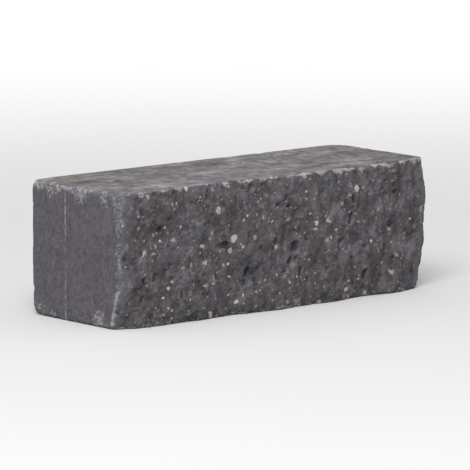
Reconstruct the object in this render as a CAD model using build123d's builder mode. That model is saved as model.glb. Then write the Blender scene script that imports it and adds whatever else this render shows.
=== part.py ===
from build123d import *

import math
import os
from dataclasses import dataclass

# A solid split-face concrete wall block. It is cast in a mould, so its two beds,
# its ends and its back are flat, with rounded arrises. Its front is the face
# along which the hardened block was split, and that face is rough.
# X runs along the wall, -Y is the split front, Z is up, and the origin is the
# middle of the lower bed.

# Driving sizes in millimetres.
block_length = 300.0
block_height = 100.0
block_depth = 110.0
arris_radius = 2.5
extra_corner_wear = 2.0

# How the split face falls back from its furthest point towards its borders.
end_fall = 6.0
end_fall_reach = 16.0
bed_fall = 2.2
bed_fall_reach = 7.0
lean_back = 2.4

# Spacing of the points that carry the split face, how many of them lie past each border,
# and how closely the face keeps to them.
point_spacing = 6.5
points_past = 2
spline_tolerance = 0.01

# Spacing of the points that find where the split face stands out furthest.
search_spacing = 2.0

# How far the raw casting stands out in front.
overrun = 12.0

# The slope of a socket's walls from straight in, and how much its corners are cut off, as a
# share of its floor's width.
socket_slope = 30.0
socket_corner = 0.3


@dataclass
class Swell:
    """One long wave of the split face, with headings in degrees from +X."""

    wavelength: float
    heading: float
    height: float
    phase: float

    def rise(self, along, up):
        """Gives the height of the wave at a point of the face."""
        turn = math.radians(self.heading)
        travel = along * math.cos(turn) + up * math.sin(turn)
        angle = 2.0 * math.pi * travel / self.wavelength + math.radians(self.phase)
        return self.height * math.sin(angle)


@dataclass
class Spall:
    """A shell-shaped hollow that the split left, set by its distance from an end and a bed.

    A negative depth makes a hump.
    """

    from_end: float
    from_bed: float
    half_width: float
    half_height: float
    depth: float
    right_end: bool = False
    upper_bed: bool = False

    def hollow(self, along, up):
        """Gives the depth of the hollow at a point of the face."""
        middle_along, middle_up = middle(self)
        across = (along - middle_along) / self.half_width
        upward = (up - middle_up) / self.half_height
        return self.depth * math.exp(-(across**2) - upward**2)


@dataclass
class Socket:
    """The narrow hole that a torn-out stone left, set like a spall.

    Length and width are those of its mouth, and the turn of its long way is in
    degrees from +X towards +Z.
    """

    from_end: float
    from_bed: float
    length: float
    width: float
    depth: float
    turn: float
    right_end: bool = False
    upper_bed: bool = False


def middle(hole):
    """Gives the place, along and up, of a spall's or a socket's middle."""
    along = hole.from_end - block_length / 2
    up = hole.from_bed
    if hole.right_end:
        along = -along
    if hole.upper_bed:
        up = block_height - up
    return along, up


# Most swells lean the same way, so that the ridges run from low left to high right.
swells = [
    Swell(wavelength=172.0, heading=-12.0, height=1.5, phase=70.0),
    Swell(wavelength=96.0, heading=-38.0, height=1.1, phase=10.0),
    Swell(wavelength=61.0, heading=22.0, height=0.8, phase=145.0),
    Swell(wavelength=43.0, heading=-55.0, height=0.7, phase=250.0),
    Swell(wavelength=34.0, heading=-20.0, height=0.45, phase=35.0),
    Swell(wavelength=26.0, heading=64.0, height=0.35, phase=110.0),
]

# The four corners of the face, then the broad hollows.
corner_spalls = [
    Spall(from_end=4.0, from_bed=8.0, half_width=15.0, half_height=13.0, depth=4.0),
    Spall(3.0, 5.0, 13.0, 10.0, depth=3.0, upper_bed=True),
    Spall(5.0, 13.0, 17.0, 15.0, depth=7.0, right_end=True),
    Spall(2.0, 6.0, 12.0, 12.0, depth=3.5, right_end=True, upper_bed=True),
]
broad_spalls = [
    Spall(from_end=96.0, from_bed=42.0, half_width=16.0, half_height=22.0, depth=2.2),
    Spall(118.0, 27.0, 18.0, 13.0, depth=1.8, right_end=True),
    Spall(62.0, 30.0, 13.0, 17.0, depth=2.0, right_end=True, upper_bed=True),
    Spall(from_end=186.0, from_bed=2.0, half_width=22.0, half_height=9.0, depth=2.4),
]

# Smaller hollows, from the left end to the right, and the humps between them.
small_spalls = [
    Spall(from_end=17.0, from_bed=38.0, half_width=8.0, half_height=12.0, depth=1.6),
    Spall(32.0, 36.0, 9.0, 11.0, depth=1.7, upper_bed=True),
    Spall(52.0, 22.0, 12.0, 8.0, depth=1.6),
    Spall(76.0, 20.0, 13.0, 8.0, depth=1.9, upper_bed=True),
    Spall(122.0, 28.0, 8.0, 12.0, depth=2.0),
    Spall(137.0, 32.0, 11.0, 13.0, depth=1.7, upper_bed=True),
    Spall(138.0, 49.0, 8.0, 10.0, depth=1.6, right_end=True),
    Spall(98.0, 46.0, 9.0, 12.0, depth=1.6, right_end=True, upper_bed=True),
    Spall(80.0, 18.0, 12.0, 8.0, depth=1.8, right_end=True),
    Spall(42.0, 45.0, 10.0, 13.0, depth=1.9, right_end=True),
    Spall(26.0, 22.0, 9.0, 9.0, depth=1.5, right_end=True, upper_bed=True),
]
humps = [
    Spall(from_end=64.0, from_bed=52.0, half_width=10.0, half_height=9.0, depth=-1.3),
    Spall(104.0, 12.0, 11.0, 7.0, depth=-1.2, upper_bed=True),
    Spall(144.0, 52.0, 10.0, 9.0, depth=-1.1),
    Spall(112.0, 20.0, 12.0, 8.0, depth=-1.2, right_end=True, upper_bed=True),
    Spall(60.0, 34.0, 9.0, 10.0, depth=-1.3, right_end=True),
]
spalls = corner_spalls + broad_spalls + small_spalls + humps

# The deepest sockets, from the left end to the right.
sockets = [
    Socket(from_end=21.0, from_bed=21.0, length=6.5, width=3.8, depth=2.0, turn=75.0),
    Socket(22.0, 34.0, 6.0, 3.6, 1.8, 100.0),
    Socket(32.0, 36.0, 7.5, 4.4, 2.2, 85.0),
    Socket(35.0, 30.0, 8.0, 5.0, 1.8, 60.0, upper_bed=True),
    Socket(90.0, 32.0, 8.0, 3.8, 2.0, 88.0),
    Socket(95.0, 47.0, 13.0, 6.0, 1.8, 12.0, upper_bed=True),
    Socket(106.0, 13.0, 13.0, 3.6, 1.8, 88.0, upper_bed=True),
    Socket(119.0, 28.0, 14.0, 4.4, 2.4, 80.0),
    Socket(141.0, 36.0, 6.0, 3.6, 1.8, 60.0, right_end=True),
    Socket(136.0, 46.0, 8.5, 5.2, 2.6, 75.0, right_end=True),
    Socket(131.0, 27.0, 8.0, 4.2, 2.2, 80.0, right_end=True),
    Socket(123.0, 20.0, 5.5, 3.6, 1.6, 95.0, right_end=True),
    Socket(91.0, 45.0, 7.0, 4.2, 1.8, 60.0, right_end=True),
    Socket(82.0, 38.0, 10.0, 4.6, 2.4, 75.0, right_end=True, upper_bed=True),
    Socket(80.0, 24.0, 8.0, 4.4, 2.2, 100.0, right_end=True, upper_bed=True),
    Socket(65.0, 17.0, 8.0, 4.2, 1.8, 80.0, right_end=True),
    Socket(33.0, 23.0, 7.0, 4.8, 2.2, 20.0, right_end=True, upper_bed=True),
]


def split_depth(along, up):
    """Gives how far a point of the split face lies behind a flat front, before it is set in place."""
    to_end = block_length / 2 - abs(along)
    to_bed = block_height / 2 - abs(up - block_height / 2)
    depth = end_fall * math.exp(-to_end / end_fall_reach)
    depth += bed_fall * math.exp(-to_bed / bed_fall_reach)
    depth += lean_back * (0.5 - up / block_height)
    depth += sum(spall.hollow(along, up) for spall in spalls)
    return depth - sum(swell.rise(along, up) for swell in swells)


def even_places(size, spacing):
    """Gives even places from border to border of a size, about that far apart."""
    steps = math.ceil(size / spacing)
    return [size * step / steps for step in range(steps + 1)]


furthest = min(
    split_depth(along - block_length / 2, up)
    for along in even_places(block_length, search_spacing)
    for up in even_places(block_height, search_spacing)
)


def split_point(along, up):
    """Gives the point of the split face there."""
    return Vector(along, split_depth(along, up) - furthest - block_depth / 2, up)


def places_past(size):
    """Gives the places of the points that carry the face. The borders lie halfway between two."""
    steps = math.ceil(size / point_spacing)
    return [size * (step + 0.5) / steps for step in range(-points_past, steps + points_past)]


split_face = Face.make_surface_from_array_of_points(
    [
        [split_point(along - block_length / 2, up) for up in places_past(block_height)]
        for along in places_past(block_length)
    ],
    tol=spline_tolerance,
)

with BuildPart() as wall_block:
    # The split takes away the front of the raw casting.
    with BuildSketch(Plane.XY) as bed:
        with Locations((0.0, -overrun / 2)):
            Rectangle(block_length, block_depth + overrun)
    extrude(amount=block_height)

    # Handling has rounded the upright corners at the back, and every arris of the two beds.
    upright_back = wall_block.edges().filter_by(Axis.Z).group_by(Axis.Y)[-1]
    fillet(upright_back, arris_radius + extra_corner_wear)
    bed_outlines = wall_block.edges().filter_by(Axis.Z, reverse=True)
    mould_front = bed_outlines.group_by(Axis.Y)[0]
    fillet(bed_outlines - mould_front, arris_radius)

    split(bisect_by=split_face, keep=Keep.BOTTOM)

    # Each socket is cut from its floor outward, and widens as far as the raw casting went.
    for socket in sockets:
        turn = math.radians(socket.turn)
        long_way = (math.cos(turn), 0.0, math.sin(turn))
        floor = split_point(*middle(socket)) + Vector(0.0, socket.depth, 0.0)
        narrowing = 2.0 * socket.depth * math.tan(math.radians(socket_slope))
        floor_width = socket.width - narrowing
        with BuildSketch(Plane(origin=floor, x_dir=long_way, z_dir=(0.0, -1.0, 0.0))) as outline:
            Rectangle(socket.length - narrowing, floor_width)
            chamfer(outline.vertices(), socket_corner * floor_width)
        extrude(amount=overrun, taper=-socket_slope, mode=Mode.SUBTRACT)

wall_block.part.label = "wall_block"

os.makedirs("parts", exist_ok=True)
export_step(wall_block.part, "parts/wall_block.step")
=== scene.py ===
import logging
import math
from collections.abc import Iterator, Sequence
from dataclasses import dataclass, field
from enum import Enum
from functools import reduce
from itertools import product

import bpy
import numpy as np
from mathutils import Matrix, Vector
from mathutils.geometry import delaunay_2d_cdt
from numpy.typing import NDArray


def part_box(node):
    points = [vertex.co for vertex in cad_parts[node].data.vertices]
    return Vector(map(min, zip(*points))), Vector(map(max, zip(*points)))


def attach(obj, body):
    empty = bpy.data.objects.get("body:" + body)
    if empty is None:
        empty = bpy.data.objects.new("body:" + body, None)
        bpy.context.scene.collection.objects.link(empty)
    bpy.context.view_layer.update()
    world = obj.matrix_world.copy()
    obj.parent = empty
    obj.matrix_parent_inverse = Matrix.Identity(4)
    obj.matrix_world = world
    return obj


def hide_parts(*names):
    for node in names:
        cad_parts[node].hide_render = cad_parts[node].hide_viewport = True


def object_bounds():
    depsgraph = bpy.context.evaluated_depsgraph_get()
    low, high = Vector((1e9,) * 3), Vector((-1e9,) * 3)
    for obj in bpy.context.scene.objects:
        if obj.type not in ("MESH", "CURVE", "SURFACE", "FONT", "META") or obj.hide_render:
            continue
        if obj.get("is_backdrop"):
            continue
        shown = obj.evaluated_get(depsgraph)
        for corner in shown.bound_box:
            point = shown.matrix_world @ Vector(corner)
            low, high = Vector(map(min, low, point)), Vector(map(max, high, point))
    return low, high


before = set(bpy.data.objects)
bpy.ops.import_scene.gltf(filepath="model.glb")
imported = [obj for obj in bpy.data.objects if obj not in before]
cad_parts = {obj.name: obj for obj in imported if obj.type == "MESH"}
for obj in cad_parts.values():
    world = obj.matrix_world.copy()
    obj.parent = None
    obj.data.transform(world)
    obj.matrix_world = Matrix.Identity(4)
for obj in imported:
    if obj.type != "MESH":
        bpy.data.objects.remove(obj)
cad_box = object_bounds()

# A split-face concrete wall block. The mesh is worked out in millimetres, in the
# frame of the solid: X along the wall, -Y out of the split face, Z up, with the
# origin in the middle of the lower bed. The finishes are worked out in metres.

Array = NDArray[np.float64]
Colour = tuple[float, float, float]
Range = tuple[float, float]
Values = dict[str | int, object]
Stops = Sequence[tuple[float, Colour, float]]
Socket = bpy.types.NodeSocket

MM = 0.001
BLOCK_NODE = "wall_block"
BLOCK_BODY = "root"

log = logging.getLogger("wall_block")


def linear(red: float, green: float, blue: float) -> Colour:
    """Turns a colour as a screen shows it into the linear light that shaders use.

    Args:
        red: Red from 0 to 255.
        green: Green from 0 to 255.
        blue: Blue from 0 to 255.

    Returns:
        The three linear values from 0 to 1.
    """
    seen = np.array([red, green, blue]) / 255.0
    light = np.where(seen <= 0.04045, seen / 12.92, ((seen + 0.055) / 1.055) ** 2.4)
    return float(light[0]), float(light[1]), float(light[2])


def eased(values: Array, low: float, high: float) -> Array:
    """Gives a soft step that is 0 below low, 1 above high and 3t^2 - 2t^3 between them."""
    share = np.clip((values - low) / (high - low), 0.0, 1.0)
    return share * share * (3.0 - 2.0 * share)


# Large whole numbers that spread neighbouring cells over all random values. They are
# mixed in 64 bits, of which a number between 0 and 1 holds the upper 53.
CELL_STEPS = np.array([0x9E3779B97F4A7C15, 0xC2B2AE3D27D4EB4F, 0x165667B19E3779F9], dtype=np.uint64)
SEED_STEP = 0x27D4EB2F165667C5
MIX_STEPS = (0xFF51AFD7ED558CCD, 0xC4CEB9FE1A85EC53)
MIX_SHIFT = np.uint64(33)
WHOLE_BITS = 64
FRACTION_BITS = 53

# The slopes of the noise have seeds so far apart, and the gain brings it to about -1 to 1.
SLOPE_SEEDS = 7
NOISE_GAIN = 1.6


def cell_random(cells: Array, seed: int) -> Array:
    """Gives each whole-number cell an even random value from 0 to 1.

    The coordinates are multiplied by large odd numbers and added up. The bits of the
    sum are then mixed by shifts, exclusive-ors and two more products.

    Args:
        cells: Cell coordinates, with two or three in the last axis.
        seed: Picks one of many independent sets of values.

    Returns:
        One value for each cell.
    """
    whole = cells.astype(np.int64).astype(np.uint64)
    mixed = (whole * CELL_STEPS[: cells.shape[-1]]).sum(-1, dtype=np.uint64)
    mixed ^= np.uint64(seed * SEED_STEP % 2**WHOLE_BITS)
    for step in MIX_STEPS:
        mixed ^= mixed >> MIX_SHIFT
        mixed *= np.uint64(step)
    mixed ^= mixed >> MIX_SHIFT
    return (mixed >> np.uint64(WHOLE_BITS - FRACTION_BITS)) / 2.0**FRACTION_BITS


def billow(places: Array, size: float, seed: int) -> Array:
    """Gives smooth noise of about -1 to 1, with swells as wide as size.

    Space is cut into cells as wide as size. Each corner of a cell has a random slope,
    and the planes of all corners are blended by the step 6t^5 - 15t^4 + 10t^3.

    Args:
        places: Points in two or three dimensions.
        size: Width of a swell, in the units of the points.
        seed: Picks the pattern.

    Returns:
        One height for each point.
    """
    scaled = places / size
    corner = np.floor(scaled)
    offset = scaled - corner
    ease = offset**3 * (offset * (6.0 * offset - 15.0) + 10.0)
    axes = range(places.shape[1])
    total = np.zeros(len(places))
    for step in product((0.0, 1.0), repeat=len(axes)):
        here = corner + step
        slopes = [2.0 * cell_random(here, SLOPE_SEEDS * seed + axis) - 1.0 for axis in axes]
        height = (np.stack(slopes, -1) * (offset - step)).sum(-1)
        total += height * np.where(np.array(step) > 0.5, ease, 1.0 - ease).prod(-1)
    return NOISE_GAIN * total


def layered(places: Array, size: float, seed: int, layers: int, fade: float = 0.5) -> Array:
    """Adds up layers of noise, each half as wide and fade times as high as the last one."""
    heights = [fade**layer * billow(places, size / 2.0**layer, seed + layer) for layer in range(layers)]
    return np.sum(heights, axis=0)


def turned(along: Array, up: Array, degrees: float | Array) -> tuple[Array, Array]:
    """Gives how far each point lies along a line that is turned from +X, and how far beside it."""
    turn = np.radians(degrees)
    return along * np.cos(turn) + up * np.sin(turn), up * np.cos(turn) - along * np.sin(turn)


def domed(ratio: Array) -> Array:
    """Gives the root of one minus the ratio, and nothing where the ratio is over one."""
    return np.sqrt(np.clip(1.0 - ratio, 0.0, 1.0))


def near_cells(places: Array, seed: int, draws: int) -> Iterator[tuple[Array, list[Array]]]:
    """Goes through the nine cells of a square grid that lie nearest to each point.

    Args:
        places: Points in two dimensions, in widths of a cell.
        seed: Picks the random values.
        draws: How many random values a cell has. The first two place its middle.

    Yields:
        The way from the cell's middle to each point, and the cell's random values.
    """
    home = np.floor(places)
    for step in product((-1.0, 0.0, 1.0), repeat=2):
        cell = home + step
        values = [cell_random(cell, seed + number) for number in range(draws)]
        yield places - cell - np.stack(values[:2], -1), values


@dataclass(frozen=True)
class Waver:
    """Smooth noise, in one layer or more: its size in millimetres, and how strong it is."""

    strength: float
    size: float
    seed: int
    layers: int = 1

    def at(self, places: Array) -> Array:
        """Gives the strength times the noise at each place."""
        return self.strength * layered(places, self.size, self.seed, self.layers)


@dataclass(frozen=True)
class Swell:
    """One long wave of the split face, as in the solid: sizes in millimetres, angles in degrees."""

    wavelength: float
    heading: float
    height: float
    phase: float

    def rise(self, along: Array, up: Array) -> Array:
        """Gives height times the sine of the way travelled along the heading."""
        travel = turned(along, up, self.heading)[0]
        return self.height * np.sin(2.0 * math.pi * travel / self.wavelength + math.radians(self.phase))


@dataclass(frozen=True)
class Spall:
    """A shell-shaped hollow of the split face, placed by its middle. A negative depth makes a hump."""

    along: float
    up: float
    half_width: float
    half_height: float
    depth: float

    def hollow(self, along: Array, up: Array) -> Array:
        """Gives depth times a bell curve of the distance from the middle."""
        across, upward = (along - self.along) / self.half_width, (up - self.up) / self.half_height
        return self.depth * np.exp(-(across**2) - upward**2)


@dataclass(frozen=True)
class Hole:
    """The narrow hole that a torn-out stone left, as in the solid, placed by its middle."""

    along: float
    up: float
    length: float
    width: float
    depth: float
    turn: float
    slope: float = 30.0
    corner: float = 0.3

    def sink(self, along: Array, up: Array, level: float) -> Array:
        """Works out how deep the hole reaches.

        Its floor is an oblong with cut corners, and lies the hole's depth behind the
        level. Away from the floor's outline the walls rise outward by their slope.

        Args:
            along: Places along the wall.
            up: Heights above the lower bed.
            level: Depth of the broad face at the hole's middle.

        Returns:
            The depth of the floor, or of the walls beside it, in millimetres.
        """
        rise = math.tan(math.radians(self.slope))
        longways, sideways = map(np.abs, turned(along - self.along, up - self.up, self.turn))
        half_length = 0.5 * self.length - self.depth * rise
        half_width = 0.5 * self.width - self.depth * rise
        cut = 2.0 * self.corner * half_width
        past_corner = (longways + sideways - half_length - half_width + cut) / math.sqrt(2.0)
        outside = np.maximum(np.maximum(longways - half_length, sideways - half_width), past_corner)
        return level + self.depth - np.maximum(outside, 0.0) / rise


@dataclass(frozen=True)
class Shards:
    """Shell-like plates that a split leaves: each cell of a slanted grid is a tilted plane."""

    length: float
    width: float
    height: float
    tilt: float
    cliff: float
    lean: float
    seed: int
    warp: float = 0.4
    warp_size: float = 0.8
    warp_seed: int = 40

    def depth(self, along: Array, up: Array) -> Array:
        """Works out the plates' depth.

        The points are turned by the lean, divided by the plates' sizes and bent by
        noise. The nearest of the scattered middles gives the plate, whose plane is a
        random depth plus a random slope. Near a border it blends with the next one.

        Args:
            along: Places along the wall.
            up: Heights above the lower bed.

        Returns:
            Depths around zero, in millimetres.
        """
        lengthwise, crosswise = turned(along, up, self.lean)
        places = np.stack([lengthwise / self.length, crosswise / self.width], -1)
        bends = [billow(places, self.warp_size, self.seed + self.warp_seed + axis) for axis in range(2)]
        distances = []
        planes = []
        for away, draw in near_cells(places + self.warp * np.stack(bends, -1), self.seed, draws=5):
            slopes = np.stack(draw[2:4], -1) - 0.5
            distances.append(np.sqrt((away**2).sum(-1)))
            planes.append(2.0 * self.height * (draw[4] - 0.5) + 2.0 * self.tilt * (slopes * away).sum(-1))
        distance = np.stack(distances)
        order = np.argsort(distance, axis=0)[:2]
        nearest, second = np.take_along_axis(distance, order, 0)
        own, other = np.take_along_axis(np.stack(planes), order, 0)
        inside = 0.5 + 0.5 * eased(second - nearest, 0.0, self.cliff)
        return own * inside + other * (1.0 - inside)


@dataclass(frozen=True)
class Stones:
    """Aggregate grains in the split face.

    One share of them stands proud, another has left a socket, and the rest lies flush.
    """

    spacing: float
    smallest: float
    largest: float
    share: float
    relief: float
    seed: int
    proud: float = 0.4
    torn_out: float = 0.3
    flush_relief: float = 0.12
    stretch: float = 0.5
    bend: float = 0.24
    bend_size: float = 0.8
    bend_seed: int = 60
    border: Range = (0.25, 0.6)

    def lay(self, along: Array, up: Array) -> tuple[Array, Array, Array]:
        """Works out the grains' relief.

        Each cell of a square grid may hold one grain. A grain is an oval with a random
        middle, radius, stretch and turn, and its outline is bent by noise. Its height
        over the face is relief times the root of one minus the square of the distance.

        Args:
            along: Places along the wall.
            up: Heights above the lower bed.

        Returns:
            The rise over the face, how far a point is inside a proud or flush grain,
            and the grain's own random value.
        """
        flat = np.stack([along, up], -1)
        size = self.bend_size * self.largest
        bends = [billow(flat, size, self.seed + self.bend_seed + axis) for axis in range(2)]
        places = (flat + self.bend * self.largest * np.stack(bends, -1)) / self.spacing
        rise, inside, own = np.zeros((3, len(along)))
        for away, draw in near_cells(places, self.seed, draws=8):
            longways, sideways = turned(*(away * self.spacing).T, 180.0 * draw[2])
            stretch = 1.0 + self.stretch * draw[3]
            radius = self.smallest + (self.largest - self.smallest) * draw[4] ** 2
            dome = domed(((longways / stretch) ** 2 + (sideways * stretch) ** 2) / radius**2)
            there = draw[5] < self.share
            left_socket = draw[6] < self.proud + self.torn_out
            kind = np.where(draw[6] < self.proud, 1.0, np.where(left_socket, -1.0, self.flush_relief))
            lift = kind * self.relief * radius / self.largest * dome
            rise = np.where(there & (np.abs(lift) > np.abs(rise)), lift, rise)
            cover = np.where(there & (kind > 0.0), eased(dome, *self.border), 0.0)
            own = np.where(cover > inside, draw[7], own)
            inside = np.maximum(inside, cover)
        return rise, inside, own


class Grain(Enum):
    """The kinds of stone that are placed one by one, each with its place in the row of colours."""

    PALE_GREY = 0.85
    BEIGE = 0.92
    CREAM = 0.96
    TAN = 0.99


@dataclass(frozen=True)
class Fleck:
    """One stone of the split face, placed by its middle: an oval turned by so many degrees."""

    along: float
    up: float
    length: float
    width: float
    turn: float
    grain: Grain

    def dome(self, along: Array, up: Array) -> Array:
        """Gives a dome over the oval: one in its middle, and nothing outside it."""
        longways, sideways = turned(along - self.along, up - self.up, self.turn)
        return domed((2.0 * longways / self.length) ** 2 + (2.0 * sideways / self.width) ** 2)


@dataclass(frozen=True)
class Pits:
    """Narrow hollows that lean about the same way, where crumbs have fallen out of the face."""

    spacing: float
    width: float
    length: float
    share: float
    depth: float
    lean: float
    spread: float
    seed: int
    least_size: float = 0.4
    least_depth: float = 0.35
    bend: float = 0.5
    bend_size: float = 1.3
    bend_fade: float = 0.7
    bend_seeds: tuple[int, int] = (60, 65)

    def dig(self, along: Array, up: Array) -> Array:
        """Works out the pits' depth.

        Each cell of a square grid may hold one pit, an oval with a random middle and
        size that leans by the lean, more or less. Its floor is a bowl: the depth times
        the root of one minus the square of the distance from its middle.

        Args:
            along: Places along the wall.
            up: Heights above the lower bed.

        Returns:
            The depth of the pit at each place, in millimetres.
        """
        flat = np.stack([along, up], -1)
        size = self.bend_size * self.width
        bends = [layered(flat, size, self.seed + step, 2, self.bend_fade) for step in self.bend_seeds]
        places = (flat + self.bend * self.width * np.stack(bends, -1)) / self.spacing
        deepest = np.zeros(len(along))
        for away, draw in near_cells(places, self.seed, draws=6):
            lean = self.lean + self.spread * (2.0 * draw[2] - 1.0)
            longways, sideways = turned(*(away * self.spacing).T, lean)
            half = 0.5 * (self.least_size + (1.0 - self.least_size) * draw[3])
            bowl = domed((longways / (self.length * half)) ** 2 + (sideways / (self.width * half)) ** 2)
            depth = self.depth * (self.least_depth + (1.0 - self.least_depth) * draw[5])
            deepest = np.maximum(deepest, np.where(draw[4] < self.share, depth * bowl, 0.0))
        return deepest


@dataclass
class SplitFace:
    """The split front: how far each of its points lies behind the block's furthest point."""

    length: float
    height: float
    end_fall: float = 6.0
    end_fall_reach: float = 16.0
    bed_fall: float = 2.2
    bed_fall_reach: float = 7.0
    lean_back: float = 2.4
    search_spacing: float = 2.0
    set_forward: float = 0.05
    crest_softness: float = 0.45
    swells: tuple[Swell, ...] = (
        Swell(wavelength=172.0, heading=-12.0, height=1.5, phase=70.0),
        Swell(wavelength=96.0, heading=-38.0, height=1.1, phase=10.0),
        Swell(wavelength=61.0, heading=22.0, height=0.8, phase=145.0),
        Swell(wavelength=43.0, heading=-55.0, height=0.7, phase=250.0),
        Swell(wavelength=34.0, heading=-20.0, height=0.45, phase=35.0),
        Swell(wavelength=26.0, heading=64.0, height=0.35, phase=110.0),
    )
    spalls: tuple[Spall, ...] = (
        Spall(along=-146.0, up=8.0, half_width=15.0, half_height=13.0, depth=4.0),
        Spall(along=-147.0, up=95.0, half_width=13.0, half_height=10.0, depth=3.0),
        Spall(along=145.0, up=13.0, half_width=17.0, half_height=15.0, depth=7.0),
        Spall(along=148.0, up=94.0, half_width=12.0, half_height=12.0, depth=3.5),
        Spall(along=-54.0, up=42.0, half_width=16.0, half_height=22.0, depth=2.2),
        Spall(along=32.0, up=27.0, half_width=18.0, half_height=13.0, depth=1.8),
        Spall(along=88.0, up=70.0, half_width=13.0, half_height=17.0, depth=2.0),
        Spall(along=36.0, up=2.0, half_width=22.0, half_height=9.0, depth=2.4),
        Spall(along=-133.0, up=38.0, half_width=8.0, half_height=12.0, depth=1.6),
        Spall(along=-118.0, up=64.0, half_width=9.0, half_height=11.0, depth=1.7),
        Spall(along=-98.0, up=22.0, half_width=12.0, half_height=8.0, depth=1.6),
        Spall(along=-74.0, up=80.0, half_width=13.0, half_height=8.0, depth=1.9),
        Spall(along=-28.0, up=28.0, half_width=8.0, half_height=12.0, depth=2.0),
        Spall(along=-13.0, up=68.0, half_width=11.0, half_height=13.0, depth=1.7),
        Spall(along=12.0, up=49.0, half_width=8.0, half_height=10.0, depth=1.6),
        Spall(along=52.0, up=54.0, half_width=9.0, half_height=12.0, depth=1.6),
        Spall(along=70.0, up=18.0, half_width=12.0, half_height=8.0, depth=1.8),
        Spall(along=108.0, up=45.0, half_width=10.0, half_height=13.0, depth=1.9),
        Spall(along=124.0, up=78.0, half_width=9.0, half_height=9.0, depth=1.5),
        Spall(along=-86.0, up=52.0, half_width=10.0, half_height=9.0, depth=-1.3),
        Spall(along=-46.0, up=88.0, half_width=11.0, half_height=7.0, depth=-1.2),
        Spall(along=-6.0, up=52.0, half_width=10.0, half_height=9.0, depth=-1.1),
        Spall(along=38.0, up=80.0, half_width=12.0, half_height=8.0, depth=-1.2),
        Spall(along=90.0, up=34.0, half_width=9.0, half_height=10.0, depth=-1.3),
    )
    holes: tuple[Hole, ...] = (
        Hole(along=-129.0, up=21.0, length=6.5, width=3.8, depth=2.0, turn=75.0),
        Hole(along=-128.0, up=34.0, length=6.0, width=3.6, depth=1.8, turn=100.0),
        Hole(along=-118.0, up=36.0, length=7.5, width=4.4, depth=2.2, turn=85.0),
        Hole(along=-115.0, up=70.0, length=8.0, width=5.0, depth=1.8, turn=60.0),
        Hole(along=-60.0, up=32.0, length=8.0, width=3.8, depth=2.0, turn=88.0),
        Hole(along=-55.0, up=53.0, length=13.0, width=6.0, depth=1.8, turn=12.0),
        Hole(along=-44.0, up=87.0, length=13.0, width=3.6, depth=1.8, turn=88.0),
        Hole(along=-31.0, up=28.0, length=14.0, width=4.4, depth=2.4, turn=80.0),
        Hole(along=9.0, up=36.0, length=6.0, width=3.6, depth=1.8, turn=60.0),
        Hole(along=14.0, up=46.0, length=8.5, width=5.2, depth=2.6, turn=75.0),
        Hole(along=19.0, up=27.0, length=8.0, width=4.2, depth=2.2, turn=80.0),
        Hole(along=27.0, up=20.0, length=5.5, width=3.6, depth=1.6, turn=95.0),
        Hole(along=59.0, up=45.0, length=7.0, width=4.2, depth=1.8, turn=60.0),
        Hole(along=68.0, up=62.0, length=10.0, width=4.6, depth=2.4, turn=75.0),
        Hole(along=70.0, up=76.0, length=8.0, width=4.4, depth=2.2, turn=100.0),
        Hole(along=85.0, up=17.0, length=8.0, width=4.2, depth=1.8, turn=80.0),
        Hole(along=117.0, up=77.0, length=7.0, width=4.8, depth=2.2, turn=20.0),
    )
    # The largest pale stones, each in its own place.
    flecks: tuple[Fleck, ...] = (
        Fleck(along=-59.0, up=80.0, length=7.2, width=5.0, turn=100.0, grain=Grain.CREAM),
        Fleck(along=-45.0, up=58.0, length=7.4, width=5.5, turn=70.0, grain=Grain.CREAM),
        Fleck(along=-74.0, up=55.0, length=7.7, width=3.1, turn=-25.0, grain=Grain.CREAM),
        Fleck(along=-24.0, up=65.0, length=5.5, width=3.4, turn=80.0, grain=Grain.PALE_GREY),
        Fleck(along=33.0, up=62.0, length=4.8, width=4.1, turn=60.0, grain=Grain.CREAM),
        Fleck(along=44.0, up=63.0, length=4.3, width=3.4, turn=90.0, grain=Grain.CREAM),
        Fleck(along=44.0, up=48.0, length=6.0, width=3.6, turn=10.0, grain=Grain.BEIGE),
        Fleck(along=73.0, up=84.0, length=6.0, width=4.8, turn=80.0, grain=Grain.CREAM),
        Fleck(along=66.0, up=80.0, length=3.8, width=3.1, turn=20.0, grain=Grain.TAN),
        Fleck(along=60.0, up=74.0, length=4.1, width=2.9, turn=70.0, grain=Grain.TAN),
        Fleck(along=8.0, up=67.0, length=6.5, width=3.1, turn=15.0, grain=Grain.TAN),
        Fleck(along=-4.0, up=48.0, length=4.6, width=3.8, turn=60.0, grain=Grain.BEIGE),
        Fleck(along=-101.0, up=85.0, length=5.3, width=3.1, turn=10.0, grain=Grain.TAN),
        Fleck(along=-105.0, up=27.0, length=4.1, width=3.6, turn=80.0, grain=Grain.CREAM),
        Fleck(along=-93.0, up=41.0, length=3.8, width=3.4, turn=40.0, grain=Grain.TAN),
        Fleck(along=67.0, up=8.0, length=5.5, width=4.3, turn=30.0, grain=Grain.CREAM),
        Fleck(along=144.0, up=61.0, length=6.0, width=5.0, turn=75.0, grain=Grain.BEIGE),
        Fleck(along=-37.0, up=22.0, length=15.0, width=2.2, turn=-58.0, grain=Grain.PALE_GREY),
        Fleck(along=-64.0, up=63.0, length=5.3, width=3.1, turn=85.0, grain=Grain.TAN),
        Fleck(along=12.0, up=32.0, length=7.0, width=6.5, turn=30.0, grain=Grain.PALE_GREY),
        Fleck(along=-135.0, up=86.0, length=4.8, width=2.6, turn=80.0, grain=Grain.PALE_GREY),
        Fleck(along=-134.0, up=74.0, length=3.8, width=2.8, turn=60.0, grain=Grain.TAN),
        Fleck(along=-128.5, up=64.0, length=3.6, width=2.8, turn=20.0, grain=Grain.TAN),
        Fleck(along=-119.0, up=67.5, length=4.0, width=2.9, turn=100.0, grain=Grain.TAN),
    )
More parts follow.
